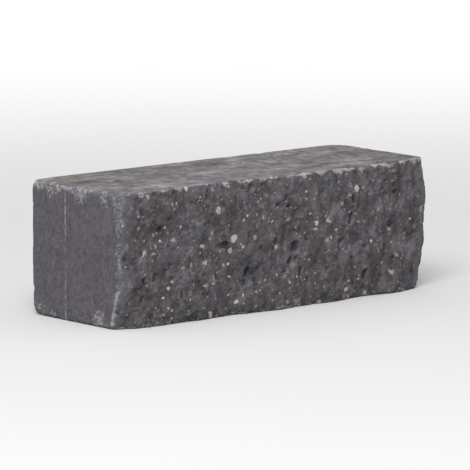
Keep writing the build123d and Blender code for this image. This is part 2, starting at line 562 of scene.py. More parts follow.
    # The flecks' height and soft border, and how far the bends shift their outlines and the holes'.
    fleck_height: float = 0.3
    fleck_border: Range = (0.2, 0.55)
    fleck_bend: float = 0.5
    hole_bend: float = 0.6
    bends: tuple[Waver, Waver] = (Waver(1.0, 2.6, seed=521, layers=2), Waver(1.0, 2.6, seed=531, layers=2))
    broad_shards: Shards = Shards(
        length=24.0, width=17.0, height=0.45, tilt=0.8, cliff=0.35, lean=72.0, seed=101
    )
    shards: tuple[Shards, ...] = (
        Shards(length=12.0, width=8.5, height=0.5, tilt=0.72, cliff=0.45, lean=84.0, seed=211),
        Shards(length=5.8, width=4.6, height=0.27, tilt=0.34, cliff=0.45, lean=88.0, seed=221),
        Shards(length=2.9, width=2.5, height=0.13, tilt=0.13, cliff=0.45, lean=60.0, seed=231),
    )
    stones: tuple[Stones, ...] = (
        Stones(spacing=10.0, smallest=1.4, largest=3.4, share=0.5, relief=0.85, seed=311),
        Stones(spacing=4.6, smallest=0.7, largest=1.8, share=0.6, relief=0.42, seed=411),
    )
    pits: tuple[Pits, ...] = (
        Pits(spacing=19.0, width=4.0, length=9.0, share=0.3, depth=2.0, lean=84.0, spread=26.0, seed=611),
        Pits(spacing=7.5, width=3.0, length=5.6, share=0.2, depth=1.6, lean=84.0, spread=50.0, seed=621),
        Pits(spacing=3.6, width=1.7, length=2.6, share=0.2, depth=0.55, lean=80.0, spread=90.0, seed=631),
    )
    grain: Waver = Waver(strength=0.24, size=2.2, seed=511, layers=2)
    rim_width: float = 14.5
    rim_start: float = 1.45
    rim_waver: Waver = Waver(strength=3.5, size=11.0, seed=541, layers=2)
    rim_smoothing: float = 0.55

    def broad(self, along: Array, up: Array) -> Array:
        """Works out the depth of the solid's own split face.

        It is the sum of the falls, the lean and the hollows, less the swells. A fall is
        its depth times exp(-distance / reach), by the distance to an end or a bed.

        Args:
            along: Places along the wall, in millimetres.
            up: Heights above the lower bed, in millimetres.

        Returns:
            Depths in millimetres, not yet counted from the front plane.
        """
        to_end = self.length / 2 - np.abs(along)
        to_bed = self.height / 2 - np.abs(up - self.height / 2)
        depth = self.end_fall * np.exp(-to_end / self.end_fall_reach)
        depth += self.bed_fall * np.exp(-to_bed / self.bed_fall_reach)
        depth += self.lean_back * (0.5 - up / self.height)
        depth += sum(spall.hollow(along, up) for spall in self.spalls)
        return depth - sum(swell.rise(along, up) for swell in self.swells)

    def foremost(self) -> float:
        """Finds where the broad face stands out furthest, on a grid of points.

        Returns:
            Its depth there, which is where the solid's own front plane lies.
        """
        half = self.length / 2
        along = np.linspace(-half, half, math.ceil(self.length / self.search_spacing) + 1)
        up = np.linspace(0.0, self.height, math.ceil(self.height / self.search_spacing) + 1)
        return float(self.broad(*np.meshgrid(along, up)).min())

    def rim(self, along: Array, up: Array) -> Array:
        """Gives how far a point is in the smoother, paler rim beside an upright arris, from 0 to 1."""
        to_end = self.length / 2 - np.abs(along) + self.rim_waver.at(np.stack([along, up], -1))
        return 1.0 - eased(to_end, self.rim_start, self.rim_width)

    def carve(self, along: Array, up: Array) -> dict[str, Array]:
        """Works out the whole relief: the broad shape, the shards, the pits, the stones and the grain.

        The sum is set a hair forward of the solid's face, and a crest that would stand
        out of its front plane is eased back by s * ln(1 + exp(depth / s)).

        Args:
            along: Places along the wall, in millimetres.
            up: Heights above the lower bed, in millimetres.

        Returns:
            The depth behind the block's front plane, the fine relief alone, how far
            each point is inside a stone, the stone's random value, and the rim.
        """
        flat = np.stack([along, up], -1)
        fine = -self.grain.at(flat)
        fine += sum(layer.depth(along, up) for layer in self.shards)
        fine += sum(layer.dig(along, up) for layer in self.pits)
        inside, own = np.zeros((2, len(along)))
        for layer in self.stones:
            rise, cover, value = layer.lay(along, up)
            fine -= rise
            own = np.where(cover > inside, value, own)
            inside = np.maximum(inside, cover)
        sideways, upward = (bend.at(flat) for bend in self.bends)
        for fleck in self.flecks:
            dome = fleck.dome(along + self.fleck_bend * sideways, up + self.fleck_bend * upward)
            fine -= self.fleck_height * dome
            own = np.where(dome > 0.0, fleck.grain.value, own)
            inside = np.where(dome > 0.0, eased(dome, *self.fleck_border), inside)
        rim = self.rim(along, up)
        fine *= 1.0 - self.rim_smoothing * rim
        depth = self.broad(along, up) + self.broad_shards.depth(along, up) + fine
        for hole in self.holes:
            level = float(self.broad(hole.along, hole.up))
            floor = hole.sink(along + self.hole_bend * sideways, up + self.hole_bend * upward, level)
            sunk = np.maximum(floor - depth, 0.0)
            fine += sunk
            depth += sunk
        depth -= self.set_forward + self.foremost()
        depth = self.crest_softness * np.logaddexp(0.0, depth / self.crest_softness)
        return {"depth": depth, "fine": fine, "stone": inside, "stone_value": own, "rim": rim}


class Side(Enum):
    """The six sides of the block: the axis that each faces along, and which way."""

    FRONT = (1, -1)
    BACK = (1, 1)
    LEFT_END = (0, -1)
    RIGHT_END = (0, 1)
    LOWER_BED = (2, -1)
    UPPER_BED = (2, 1)


@dataclass
class Skin:
    """The sharp box's six sides as points and triangles, close together where detail needs it."""

    low: Array
    high: Array
    fine_step: float = 0.78
    plain_step: float = 1.25
    step_ratio: float = 1.5
    levels: int = 6
    growth: float = 0.13
    widest_step: float = 4.0
    end_step: float = 1.25
    jitter: float = 0.22
    jitter_seed: int = 600
    # Points of one side closer than join_gap count as one. Where sides meet, points count as
    # one if they agree in steps of 1 / merge_steps.
    join_gap: float = 1e-7
    merge_steps: float = 1e5

    def border_step(self, first: Side, second: Side) -> float:
        """Gives the spacing of the points on the border of two sides."""
        return self.fine_step if Side.FRONT in (first, second) else self.plain_step

    def border(self, axis: int, step: float) -> Array:
        """Gives even places along one axis, from the box's lowest to its highest."""
        count = math.ceil((self.high[axis] - self.low[axis]) / step)
        return np.linspace(self.low[axis], self.high[axis], count + 1)

    def side(self, side: Side) -> tuple[Array, NDArray[np.int64]]:
        """Fills one side with points and joins them.

        Every grid of points is step_ratio times as coarse as the last, and a point is
        kept where the spacing wanted there fits its grid. The spacing wanted is a
        border's spacing plus growth times the distance from that border, at its least
        over the four borders. The points are then joined so that no circle through a
        triangle's corners holds another point.

        Args:
            side: The side to fill.

        Returns:
            The points, and the corner numbers of the triangles, which face outward.
        """
        facing, way = side.value
        first, second = (facing + 1) % 3, (facing + 2) % 3
        if way < 0:
            first, second = second, first
        low = self.low[[first, second]]
        high = self.high[[first, second]]
        borders = []
        near = []
        for place, (axis, across) in enumerate(((first, second), (second, first))):
            for end_way, bound in ((-1, self.low[axis]), (1, self.high[axis])):
                step = self.border_step(side, Side((axis, end_way)))
                line = self.border(across, step)
                pinned = np.full_like(line, bound)
                borders.append(np.stack([pinned, line] if place == 0 else [line, pinned], -1))
                near.append((place, bound, step))
        widest = self.fine_step if side is Side.FRONT else self.widest_step
        if side in (Side.LEFT_END, Side.RIGHT_END):
            widest = self.end_step
        inner = [self.grid(low, high, near, widest, level) for level in range(self.levels)]
        flat = np.concatenate([np.unique(np.concatenate(borders), axis=0), *inner])
        corners = delaunay_2d_cdt(flat.tolist(), [], [], 0, self.join_gap, False)[2]
        points = np.empty((len(flat), 3))
        points[:, facing] = self.high[facing] if way > 0 else self.low[facing]
        points[:, [first, second]] = flat
        return points, np.array(corners, dtype=np.int64)

    def grid(
        self, low: Array, high: Array, near: list[tuple[int, float, float]], widest: float, level: int
    ) -> Array:
        """Gives the points of one grid that a side keeps.

        Args:
            low: Lowest corner of the side.
            high: Highest corner of the side.
            near: For each border, the axis across it, its place and its spacing.
            widest: The widest spacing on this side.
            level: Number of the grid, from the finest.

        Returns:
            The kept points, each moved a little at random so that no rows show.
        """
        step = self.fine_step * self.step_ratio**level
        counts = np.maximum(np.round((high - low) / step).astype(int), 2)
        lines = [np.linspace(low[axis], high[axis], counts[axis] + 1)[1:-1] for axis in range(2)]
        grid = np.stack([line.ravel() for line in np.meshgrid(*lines)], -1)
        wanted = np.full(len(grid), widest)
        for axis, bound, border_step in near:
            away = np.abs(grid[:, axis] - bound)
            wanted = np.minimum(wanted, border_step + self.growth * away)
        own_level = np.floor(np.log(wanted / self.fine_step) / math.log(self.step_ratio) + 1e-6)
        kept = grid[own_level == level]
        cells = np.round(kept / step)
        moved = [cell_random(cells, self.jitter_seed + axis) - 0.5 for axis in range(2)]
        return kept + self.jitter * step * np.stack(moved, -1)

    def whole(self) -> tuple[Array, NDArray[np.int64]]:
        """Joins the six sides into one closed skin by merging the points on their borders.

        Returns:
            The points, and the corner numbers of the triangles.
        """
        parts = [self.side(side) for side in Side]
        offsets = np.cumsum([0] + [len(points) for points, _ in parts[:-1]])
        points = np.concatenate([points for points, _ in parts])
        corners = np.concatenate([corners + offset for (_, corners), offset in zip(parts, offsets)])
        keys = np.round(points * self.merge_steps).astype(np.int64)
        _, first, joined = np.unique(keys, axis=0, return_index=True, return_inverse=True)
        return points[first], joined.reshape(-1)[corners]


@dataclass(frozen=True)
class Mark:
    """A knock or a smudge: where it is on the sharp box, how far it reaches and how strong it is."""

    x: float
    y: float
    z: float
    reach: float
    strength: float

    def spread(self, points: Array) -> Array:
        """Gives the strength times a bell curve of the distance from the mark."""
        away = points - np.array([self.x, self.y, self.z])
        return self.strength * np.exp(-(away**2).sum(-1) / self.reach**2)


@dataclass(frozen=True)
class Chips:
    """Bits that break off wherever noise of their size passes a threshold, in millimetres."""

    depth: float
    size: float
    seed: int
    threshold: Range

    def at(self, points: Array) -> Array:
        """Gives the depth times a soft step on the noise."""
        return self.depth * eased(billow(points, self.size, self.seed), *self.threshold)


# The numbers of the sides, in the order x low, y low, z low, x high, y high, z high.
ENDS = (0, 3)
FRONT_AND_BACK = (1, 4)
BEDS = (2, 5)
UPPER_FRONT = (1, 5)


@dataclass
class Wear:
    """How far each arris of the block is rounded, chipped and bruised, in millimetres."""

    low: Array
    high: Array
    moulded_radius: float = 2.4
    moulded_waver: Waver = Waver(strength=0.25, size=17.0, seed=701)
    corner_extra: float = 2.0
    corner_fade: Range = (3.0, 16.0)
    split_radius: float = 0.9
    split_fade: Range = (3.0, 16.0)
    upright_extra: float = 2.0
    upright_fade: Range = (1.0, 9.0)
    upright_waver: Waver = Waver(strength=0.9, size=11.0, seed=731)
    upright_limits: Range = (0.2, 2.0)
    chips: Chips = Chips(depth=3.2, size=8.0, seed=711, threshold=(0.34, 0.85))
    crumbs: Chips = Chips(depth=1.7, size=3.4, seed=721, threshold=(0.0, 0.7))
    crumb_fade: Range = (0.0, 5.0)
    lower_crumbs: float = 0.6
    lower_fade: Range = (4.0, 20.0)
    # Knocks whose strength adds to the radius: at five corners, then along the arrises.
    knocks: tuple[Mark, ...] = (
        Mark(-150.0, 55.0, 0.0, reach=6.0, strength=2.4),
        Mark(-150.0, 55.0, 100.0, reach=8.0, strength=1.4),
        Mark(-150.0, -55.0, 100.0, reach=9.0, strength=1.8),
        Mark(150.0, -55.0, 0.0, reach=11.0, strength=3.5),
        Mark(150.0, 55.0, 100.0, reach=9.0, strength=3.0),
        Mark(-34.0, -55.0, 0.0, reach=7.0, strength=2.4),
        Mark(71.0, -55.0, 100.0, reach=6.0, strength=1.8),
        Mark(40.0, 55.0, 100.0, reach=7.0, strength=2.4),
        Mark(-88.0, 55.0, 0.0, reach=9.0, strength=2.0),
        Mark(150.0, 10.0, 100.0, reach=6.0, strength=1.8),
    )
    knock_waver: Waver = Waver(strength=0.5, size=4.0, seed=741)
    chipped_step: Range = (0.3, 1.6)
    rounded_step: Range = (0.01, 0.08)
    # How readily the arrises of each side bruise, and how far the paleness reaches into it.
    bruising: tuple[float, ...] = (0.85, 1.0, 0.6, 0.85, 0.75, 1.0)
    bruise_reach: float = 3.2
    end_reach: float = 7.0
    bed_reach: float = 1.3
    upright_reach: float = 4.2
    upright_stretch: float = 0.45
    upright_bruise: float = 0.43
    small_patches: Waver = Waver(strength=0.7, size=4.5, seed=901)
    upright_patches: Waver = Waver(strength=0.7, size=4.5, seed=951)
    broad_patches: Waver = Waver(strength=0.6, size=15.0, seed=911)
    patch_lack: float = 0.46
    pale_step: Range = (0.05, 0.75)
    # The upper arris of the split has larger patches, and more of them towards the right.
    front_patches: Waver = Waver(strength=1.3, size=9.0, seed=961)
    front_lack: float = 0.12
    front_gain: float = 0.3
    front_gain_range: Range = (-120.0, 30.0)
    front_reach: float = 6.0
    chipped_paleness: float = 0.08
    # Pale smudges: low down on the left end, under its upper arris, and on the split.
    smudges: tuple[Mark, ...] = (
        Mark(-150.0, -25.0, 5.0, reach=7.5, strength=1.3),
        Mark(-150.0, 44.0, 7.0, reach=6.0, strength=0.8),
        Mark(-150.0, 31.0, 95.5, reach=6.5, strength=1.0),
        Mark(-150.0, -4.0, 95.5, reach=7.5, strength=1.25),
        Mark(-150.0, -33.0, 95.5, reach=6.5, strength=1.1),
        Mark(-118.0, -55.0, 56.0, reach=6.0, strength=0.5),
        Mark(-62.0, -55.0, 30.0, reach=7.0, strength=0.5),
        Mark(2.0, -55.0, 29.0, reach=6.0, strength=0.55),
        Mark(-4.0, -55.0, 74.0, reach=5.0, strength=0.4),
        Mark(98.0, -55.0, 38.0, reach=8.0, strength=0.5),
    )
    smudge_level: float = 0.7
    smudge_waver: Waver = Waver(strength=0.5, size=3.4, seed=921)
    haze_depth: float = 8.0
    haze_level: float = 0.6
    haze_waver: Waver = Waver(strength=0.8, size=12.0, seed=971)
    # The streak begins and ends softly between these heights over the lower bed.
    streak_rise: Range = (1.0, 5.0)
    streak_fade: Range = (26.0, 32.0)
    streak_from_split: float = 2.2
    streak_bends: Waver = Waver(strength=1.4, size=10.0, seed=931)
    streak_width: float = 1.7
    streak_level: float = 1.6
    streak_waver: Waver = Waver(strength=1.2, size=4.0, seed=941)
    on_side: float = 0.5

    def to_end(self, points: Array) -> Array:
        """Gives each point's distance to the nearer end."""
        return np.minimum(points[:, 0] - self.low[0], self.high[0] - points[:, 0])

    def radius(self, points: Array) -> tuple[Array, Array]:
        """Works out the radius at each point and the part of it that chips have added.

        The moulded arrises have one radius, with more around the upright corners of the
        back, and the split's arrises a small one, with more at its uprights. Noise at
        the chips' size adds to it wherever it passes a threshold, finer noise adds
        crumbs along the split, and the knocks add theirs.

        Args:
            points: Points of the sharp box.

        Returns:
            The radii and the chips' shares of them.
        """
        from_front = points[:, 1] - self.low[1]
        to_end = self.to_end(points)
        to_corner = np.maximum(to_end, self.high[1] - points[:, 1])
        moulded = self.moulded_radius + self.corner_extra * (1.0 - eased(to_corner, *self.corner_fade))
        moulded *= 1.0 + self.moulded_waver.at(points)
        uneven = np.clip(1.0 + self.upright_waver.at(points), *self.upright_limits)
        split = self.split_radius + self.upright_extra * (1.0 - eased(to_end, *self.upright_fade)) * uneven
        base = split + (moulded - split) * eased(from_front, *self.split_fade)
        at_split = 1.0 - eased(from_front, *self.crumb_fade)
        lower = 1.0 + self.lower_crumbs * (1.0 - eased(points[:, 2], *self.lower_fade))
        knocked = (1.0 + self.knock_waver.at(points)) * sum(knock.spread(points) for knock in self.knocks)
        broken = self.chips.at(points) + lower * at_split * self.crumbs.at(points) + knocked
        return base + broken, broken

    def wear(self, points: Array) -> tuple[Array, Array, Array]:
        """Rounds the sharp box.

        The nearest point of the box that is smaller by the radius on every side is
        found, and the worn point lies one radius out from it.

        Args:
            points: Points of the sharp box.

        Returns:
            The worn points, the directions out of the block, and how much of the
            rounding there is chips.
        """
        radius, broken = self.radius(points)
        core = np.clip(points, self.low + radius[:, None], self.high - radius[:, None])
        away = points - core
        outward = away / np.linalg.norm(away, axis=1, keepdims=True)
        roundness = 1.0 - np.abs(outward).max(axis=1)
        chipped = eased(broken, *self.chipped_step) * eased(roundness, *self.rounded_step)
        return core + radius[:, None] * outward, outward, chipped

    def bruise(self, points: Array, chipped: Array) -> Array:
        """Marks where handling has left the concrete pale.

        A point's distance to its nearest arris is the second least of its distances to
        the six sides. A bell curve of it, plus noise, is cut off low down, so that the
        paleness comes in ragged patches along the arrises. The smudges and the streak
        are added where they are stronger.

        Args:
            points: Points of the sharp box.
            chipped: How much of the rounding there is chips.

        Returns:
            The paleness from 0 to 1.
        """
        gaps = np.concatenate([points - self.low, self.high - points], axis=1)
        sides = np.argsort(gaps, axis=1)[:, :2]
        own_side = sides[:, 0]
        to_arris = np.take_along_axis(gaps, sides[:, 1:], 1)[:, 0]
        upright = ~np.isin(sides, BEDS).any(axis=1)
        upper_front = np.isin(sides, UPPER_FRONT).all(axis=1)
        weight = np.array(self.bruising)[sides].prod(axis=1) * np.where(upright, self.upright_bruise, 1.0)
        reach = np.where(np.isin(own_side, ENDS), self.end_reach, self.bruise_reach)
        reach = np.where(np.isin(own_side, BEDS), self.bed_reach, reach)
        reach = np.where(np.isin(own_side, FRONT_AND_BACK) & upright, self.upright_reach, reach)
        long_points = points * np.array([1.0, 1.0, self.upright_stretch])
        patches = np.where(upright, self.upright_patches.at(long_points), self.small_patches.at(points))
        patches += self.broad_patches.at(points) - self.patch_lack
        larger = self.front_patches.at(points) - self.front_lack
        larger += self.front_gain * eased(points[:, 0], *self.front_gain_range)
        patches += np.where(upper_front, larger * np.exp(-((to_arris / self.front_reach) ** 2)), 0.0)
        pale = eased(np.exp(-((to_arris / reach) ** 2)) + patches, *self.pale_step) * weight
        smudged = sum(smudge.spread(points) for smudge in self.smudges)
        smudged *= self.smudge_level + self.smudge_waver.at(points)
        pale = np.maximum(pale, smudged) + self.chipped_paleness * chipped
        return np.clip(np.maximum(pale, self.streak(points)), 0.0, 1.0)

    def haze(self, points: Array) -> Array:
        """Marks the soft pale haze that lies under the upper arris of both ends, in patches.

        It is exp(-(distance / haze_depth)^2) times noise.

        Args:
            points: Points of the sharp box.

        Returns:
            The haze from 0 to 1.
        """
        below = (self.high[2] - points[:, 2]) / self.haze_depth
        patches = np.clip(self.haze_level + self.haze_waver.at(points), 0.0, 1.0)
        return np.where(self.to_end(points) < self.on_side, np.exp(-(below**2)) * patches, 0.0)

    def streak(self, points: Array) -> Array:
        """Works out the pale streak on the left end, a wavy line beside its arris with the split.

        It is a bell curve of the distance from the line, times noise, times a soft step
        at its foot and at its head.

        Args:
            points: Points of the sharp box.

        Returns:
            The streak's strength, which may pass 1.
        """
        middle = self.low[1] + self.streak_from_split + self.streak_bends.at(points)
        across = np.exp(-(((points[:, 1] - middle) / self.streak_width) ** 2))
        tall = eased(points[:, 2], *self.streak_rise) * (1.0 - eased(points[:, 2], *self.streak_fade))
        strength = across * tall * (self.streak_level + self.streak_waver.at(points))
        return np.where(points[:, 0] < self.low[0] + self.on_side, strength, 0.0)


@dataclass(frozen=True)
class Step:
    """A soft step on a pattern: between which of its values it rises, and how strong it gets."""

    low: float
    high: float
    strength: float = 1.0


class Nodes:
    """Adds shader nodes to a material or a group, and joins them."""

    def __init__(self, tree: bpy.types.NodeTree) -> None:
        """Starts with an empty tree."""
        self.tree = tree
        tree.nodes.clear()

    def add(self, kind: str, values: Values | None = None, **settings: object) -> bpy.types.Node:
        """Adds one node.

        Args:
            kind: The node's type name.
            values: For each input's name or number, a constant or the socket that feeds it.
            settings: The node's own options.

        Returns:
            The new node.
        """
        node = self.tree.nodes.new(kind)
        for name, setting in settings.items():
            setattr(node, name, setting)
        for name, value in (values or {}).items():
            if isinstance(value, Socket):
                self.tree.links.new(value, node.inputs[name])
            else:
                node.inputs[name].default_value = value
        return node

    def maths(self, operation: str, *values: object, clamp: bool = False) -> Socket:
        """Does one sum on one to three numbers or sockets."""
        node = self.add("ShaderNodeMath", dict(enumerate(values)), operation=operation, use_clamp=clamp)
        return node.outputs[0]

    def times(self, first: object, *others: object) -> Socket:
        """Multiplies two or more numbers or sockets."""
        return reduce(lambda so_far, value: self.maths("MULTIPLY", so_far, value), others, first)

    def remap(self, value: object, low: float, high: float) -> Socket:
        """Turns the range low to high into the range 0 to 1 by a soft step."""
        values = {"Value": value, "From Min": low, "From Max": high}
        return self.add("ShaderNodeMapRange", values, interpolation_type="SMOOTHSTEP").outputs[0]

    def step(self, value: object, step: Step, *masks: object) -> Socket:
        """Takes a soft step on a pattern, times its strength and the masks."""
        return self.times(self.remap(value, step.low, step.high), *masks, step.strength)

    def between(self, share: object, first: float, second: float) -> Socket:
        """Goes from the first number, where the share is nothing, to the second, where it is one."""
        return self.maths("MULTIPLY_ADD", share, second - first, first)

    def blend(self, share: object, first: object, second: object, mode: str = "MIX") -> Socket:
        """Blends two colours.

        Args:
            share: How much of the second colour there is.
            first: The first colour, as a socket or as three numbers.
            second: The second colour, as a socket or as three numbers.
            mode: The way in which they blend.

        Returns:
            The blended colour.
        """
        colours = [value if isinstance(value, Socket) else (*value, 1.0) for value in (first, second)]
        values = {0: share, 6: colours[0], 7: colours[1]}
        node = self.add("ShaderNodeMix", values, data_type="RGBA", blend_type=mode, clamp_factor=True)
        return node.outputs[2]

    def scaled(self, place: object, factor: object) -> Socket:
        """Multiplies a place by one number."""
        values = {"Vector": place, "Scale": factor}
        return self.add("ShaderNodeVectorMath", values, operation="SCALE").outputs[0]

    def stretched(self, place: object, scale: tuple[float, float, float]) -> Socket:
        """Multiplies each coordinate of a place by its own number. Under one, patterns get longer."""
        return self.add("ShaderNodeMapping", {"Vector": place, "Scale": scale}).outputs[0]

    def attribute(self, name: str) -> Socket:
        """Reads one of the mesh's own number attributes."""
        return self.add("ShaderNodeAttribute", attribute_name=name).outputs["Fac"]

    def ramp(self, value: Socket, stops: Stops) -> bpy.types.Node:
        """Picks one of a few colours by a number.

        Args:
            value: The number, from 0 to 1.
            stops: For each colour, where it starts, the colour itself and its cover.

        Returns:
            A node whose outputs are the colour and, as its alpha, the cover.
        """
        node = self.add("ShaderNodeValToRGB", {"Fac": value})
        node.color_ramp.interpolation = "CONSTANT"
        elements = node.color_ramp.elements
        elements.remove(elements[1])
        for start, tint, cover in stops:
            element = elements.new(start) if start > 0.0 else elements[0]
            element.color = (*tint, cover)
        return node

    def group(self, tree: bpy.types.NodeTree, values: Values) -> bpy.types.Node:
        """Places a group that has been built before."""
        return self.add("ShaderNodeGroup", values, node_tree=tree)


def start_group(
    name: str, inputs: Sequence[tuple[str, str, object]], outputs: Sequence[tuple[str, str]]
) -> tuple[Nodes, bpy.types.Node]:
    """Makes a node group with its sockets.

    Args:
        name: The group's name.
        inputs: For each input, its name, its kind and its first value.
        outputs: For each output, its name and its kind.

    Returns:
        The group's nodes and the node that holds its inputs.
    """
    tree = bpy.data.node_groups.new(name, "ShaderNodeTree")
    nodes = Nodes(tree)
    for label, kind, value in inputs:
        socket = tree.interface.new_socket(name=label, in_out="INPUT", socket_type="NodeSocket" + kind)
        if value is not None:
            socket.default_value = value
    for label, kind in outputs:
        tree.interface.new_socket(name=label, in_out="OUTPUT", socket_type="NodeSocket" + kind)
    return nodes, nodes.add("NodeGroupInput")


def mottle_group() -> bpy.types.NodeTree:
    """Builds the group that gives soft patches: layered noise around zero, mostly within -1 to 1.

    Returns:
        A group with the inputs Place, Size in metres and Detail, and the output Value.
    """
    inputs = (("Place", "Vector", None), ("Size", "Float", 0.01), ("Detail", "Float", 3.0))
    nodes, given = start_group("mottle", inputs, (("Value", "Float"),))
    scale = nodes.maths("DIVIDE", 1.0, given.outputs["Size"])
    values = {"Vector": given.outputs["Place"], "Scale": scale, "Detail": given.outputs["Detail"]}
    noise = nodes.add("ShaderNodeTexNoise", values, noise_dimensions="3D")
    value = nodes.maths("MULTIPLY_ADD", noise.outputs["Fac"], 4.0, -2.0)
    nodes.add("NodeGroupOutput", {"Value": value})
    return nodes.tree


# The inputs of the groups that scatter balls through space, each with what it starts with.
# Noise bends the outlines of the specks, by how much and with how many swells to a spacing.
SCATTER_INPUTS = (
    ("Place", "Vector", None),
    ("Spacing", "Float", 0.004),
    ("Share", "Float", 0.2),
    ("Radius", "Float", 0.4),
)
SPECK_BEND = 0.6
SPECK_BEND_SCALE = 2.6


def scattered_balls(
    nodes: Nodes, given: bpy.types.Node, place: Socket, smallest: float
) -> tuple[Socket, Socket, Socket]:
    """Scatters balls through space: each cell of a pattern around scattered points holds one or none.

    Args:
        nodes: The nodes of the group.
        given: The group's inputs.
        place: The place, counted in spacings.
        smallest: Radius of the smallest ball, as a share of the largest.

    Returns:
        The distance from the ball's middle in radii, whether there is a ball, and the
        ball's own random value.
    """
    cells = nodes.add("ShaderNodeTexVoronoi", {"Vector": place, "Scale": 1.0}, voronoi_dimensions="3D")
    draw = nodes.add("ShaderNodeSeparateColor", {"Color": cells.outputs["Color"]})
    there = nodes.maths("LESS_THAN", draw.outputs[0], given.outputs["Share"])
    radius = nodes.times(nodes.between(draw.outputs[1], smallest, 1.0), given.outputs["Radius"])
    return nodes.maths("DIVIDE", cells.outputs["Distance"], radius), there, draw.outputs[2]


def specks_group(tints: Stops) -> bpy.types.NodeTree:
    """Builds the group that scatters small stones: balls in space, cut by the block's surface.

    Args:
        tints: The stones' colours, each with the place where it starts, from 0 to 1.

    Returns:
        A group with the inputs Place, Spacing, Share and Radius, and the outputs Mask
        and Tint.
    """
    nodes, given = start_group("specks", SCATTER_INPUTS, (("Mask", "Float"), ("Tint", "Color")))
    scale = nodes.maths("DIVIDE", 1.0, given.outputs["Spacing"])
    place = nodes.scaled(given.outputs["Place"], scale)
    noise = nodes.add("ShaderNodeTexNoise", {"Vector": place, "Scale": SPECK_BEND_SCALE, "Detail": 1.0})
    values = {0: noise.outputs["Color"], 1: (0.5, 0.5, 0.5)}
    bend = nodes.add("ShaderNodeVectorMath", values, operation="SUBTRACT")
    values = {0: bend.outputs[0], 1: (SPECK_BEND, SPECK_BEND, SPECK_BEND), 2: place}
    bent = nodes.add("ShaderNodeVectorMath", values, operation="MULTIPLY_ADD")
    ratio, there, value = scattered_balls(nodes, given, bent.outputs[0], smallest=0.4)
    mask = nodes.times(nodes.remap(ratio, 1.08, 0.82), there)
    nodes.add("NodeGroupOutput", {"Mask": mask, "Tint": nodes.ramp(value, tints).outputs["Color"]})
    return nodes.tree


def pores_group() -> bpy.types.NodeTree:
    """Builds the group that pricks small round pores: bowls in a share of scattered cells.

    Returns:
        A group with the inputs Place, Spacing, Share and Radius and the output Depth.
    """
    nodes, given = start_group("pores", SCATTER_INPUTS, (("Depth", "Float"),))
    scale = nodes.maths("DIVIDE", 1.0, given.outputs["Spacing"])
    place = nodes.scaled(given.outputs["Place"], scale)
    ratio, there, _ = scattered_balls(nodes, given, place, smallest=0.3)
    nodes.add("NodeGroupOutput", {"Depth": nodes.times(nodes.remap(ratio, 1.0, 0.4), there)})
    return nodes.tree


@dataclass(frozen=True)
class Drift:
    """Patches of one size in the tone, and how far they shift it on each kind of side.

    Upright patches are longer up the block than along it.
    """

    size: float
    detail: float
    on_end: float
    on_bed: float
    on_split: float
    upright: bool = False


@dataclass(frozen=True)
class Scatter:
    """One size of specks or pores, in metres, and how strongly they show on each kind of side."""

    spacing: float
    share: float
    radius: float
    on_mould: float
    on_split: float


class Patterns:
    """The shared pattern groups, as one material places them on its own surface."""

    def __init__(self, nodes: Nodes, tints: Stops) -> None:
        """Builds the groups and reads the place that they all follow.

        Args:
            nodes: The material's nodes.
            tints: The colours of the specks.
        """
        self.nodes = nodes
        self.place = nodes.add("ShaderNodeTexCoord").outputs["Object"]
        self.mottle = mottle_group()
        self.specks = specks_group(tints)
        self.pores = pores_group()

    def patches(self, size: float, detail: float = 3.0, place: Socket | None = None) -> Socket:
        """Places soft patches of one size."""
        values = {"Place": place or self.place, "Size": size, "Detail": detail}
        return self.nodes.group(self.mottle, values).outputs["Value"]

    def scattered(self, tree: bpy.types.NodeTree, scatter: Scatter) -> bpy.types.Node:
        """Places the specks or the pores of one size."""
        sizes = {"Spacing": scatter.spacing, "Share": scatter.share, "Radius": scatter.radius}
        return self.nodes.group(tree, {"Place": self.place, **sizes})


